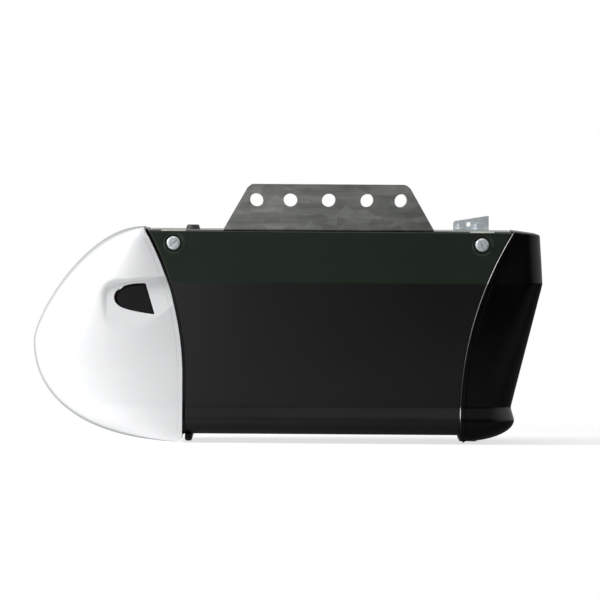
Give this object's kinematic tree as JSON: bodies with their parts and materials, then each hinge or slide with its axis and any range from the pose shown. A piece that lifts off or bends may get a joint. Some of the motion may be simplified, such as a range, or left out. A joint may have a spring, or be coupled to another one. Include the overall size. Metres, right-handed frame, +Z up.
{
  "type": "garage door opener",
  "caption": "Ceiling-hung garage door opener head: folded steel cover, hinged light lens, moulded end cap, hanging flanges and a worm-driven chain sprocket.",
  "frame": {"origin": "under the middle of the head's overall length and width, level with the foot of the light lens", "axes": "+X towards the rail and the door, +Y to the side with the control panel, +Z up towards the ceiling"},
  "size_m": [0.42, 0.246, 0.2125],
  "materials": {
    "zinc_sheet": "galvanised, dull",
    "cover_paint": "dark green-black powder coat, satin",
    "black_plastic": "moulded, glossy",
    "lens_plastic": "frosted white, translucent",
    "zinc_plate": "bright zinc plate",
    "steel": "plain steel",
    "nylon": "natural nylon",
    "bronze": "sintered bronze",
    "copper": "enamelled copper wire",
    "bell_metal": "die cast",
    "rotor_iron": "laminated",
    "porcelain": "glazed white",
    "brass": "plain",
    "bulb_glass": "frosted",
    "board": "fibreglass board, solder mask",
    "dark_plastic": "moulded, matt",
    "amber_plastic": "moulded, translucent",
    "grey_plastic": "moulded",
    "pale_plastic": "moulded"
  },
  "bodies": {
    "head": {"chassis": "zinc_sheet", "cover": "cover_paint", "lamp_panel": "black_plastic", "lens_hinge_pins": "steel", "end_cap": "black_plastic", "rear_wall": "zinc_sheet", "front_wall": "zinc_sheet", "rail_bracket": "zinc_plate", "rail_screws": "zinc_plate", "cover_screws": "zinc_plate", "cord_bushing": "dark_plastic", "chain_spreader": "nylon", "shaft_bushings": "bronze", "gear_bracket": "zinc_sheet", "motor_stator": "rotor_iron", "motor_windings": "copper", "motor_bells": "bell_metal", "motor_bolts": "steel", "motor_mounts": "zinc_sheet", "rpm_sensor": "dark_plastic", "capacitor": "dark_plastic", "capacitor_strap": "zinc_plate", "cap_screws": "steel", "transformer": "rotor_iron", "lamp_socket": "porcelain", "socket_shell": "brass", "bulb_base": "bell_metal", "bulb_glass": "bulb_glass", "control_panel": "dark_plastic", "logic_board": "board", "board_parts": "dark_plastic", "status_led": "amber_plastic", "terminal_block": "pale_plastic"},
    "lens_door": {"light_lens": "lens_plastic"},
    "release_tab_right": {"release_tab_right": "black_plastic"},
    "release_tab_left": {"release_tab_left": "black_plastic"},
    "rotor": {"motor_shaft": "steel", "motor_rotor": "rotor_iron", "worm": "steel", "rpm_cup": "dark_plastic"},
    "drive": {"drive_shaft": "steel", "drive_gear": "nylon", "gear_pin": "steel", "sprocket": "steel", "retaining_ring": "steel"},
    "learn_button": {"learn_button": "amber_plastic"},
    "up_button": {"up_button": "grey_plastic"},
    "set_button": {"set_button": "grey_plastic"},
    "down_button": {"down_button": "grey_plastic"}
  },
  "joints": [
    {"name": "lens_hinge", "type": "hinge", "parent": "head", "child": "lens_door", "pos_m": [-0.09, 0, 0.0065], "axis": [0, -1, 0], "range_deg": [0, 70]},
    {"name": "release_tab_left_press", "type": "hinge", "parent": "head", "child": "release_tab_left", "pos_m": [-0.09839, 0.11115, 0.118], "axis": [0, 0, 1], "range_deg": [0, 7], "stiffness_Nm_per_rad": 4},
    {"name": "release_tab_right_press", "type": "hinge", "parent": "head", "child": "release_tab_right", "pos_m": [-0.09839, -0.11115, 0.118], "axis": [0, 0, -1], "range_deg": [0, 7], "stiffness_Nm_per_rad": 4},
    {"name": "motor_spin", "type": "hinge", "parent": "head", "child": "rotor", "pos_m": [0, -0.038, 0.118], "axis": [1, 0, 0], "continuous": true},
    {"name": "drive_spin", "type": "hinge", "parent": "head", "child": "drive", "pos_m": [0.06, 0, 0.118], "axis": [0, 0, 1], "continuous": true},
    {"name": "learn_button_press", "type": "slide", "parent": "head", "child": "learn_button", "axis": [0, -0.9775, 0.2108], "range_m": [0, 0.001], "stiffness_N_per_m": 1500},
    {"name": "up_button_press", "type": "slide", "parent": "head", "child": "up_button", "axis": [0, -0.9775, 0.2108], "range_m": [0, 0.001], "stiffness_N_per_m": 1500},
    {"name": "set_button_press", "type": "slide", "parent": "head", "child": "set_button", "axis": [0, -0.9775, 0.2108], "range_m": [0, 0.001], "stiffness_N_per_m": 1500},
    {"name": "down_button_press", "type": "slide", "parent": "head", "child": "down_button", "axis": [0, -0.9775, 0.2108], "range_m": [0, 0.001], "stiffness_N_per_m": 1500}
  ],
  "couplings": [
    {"joint": "motor_spin", "follows": "drive_spin", "ratio": 15}
  ]
}
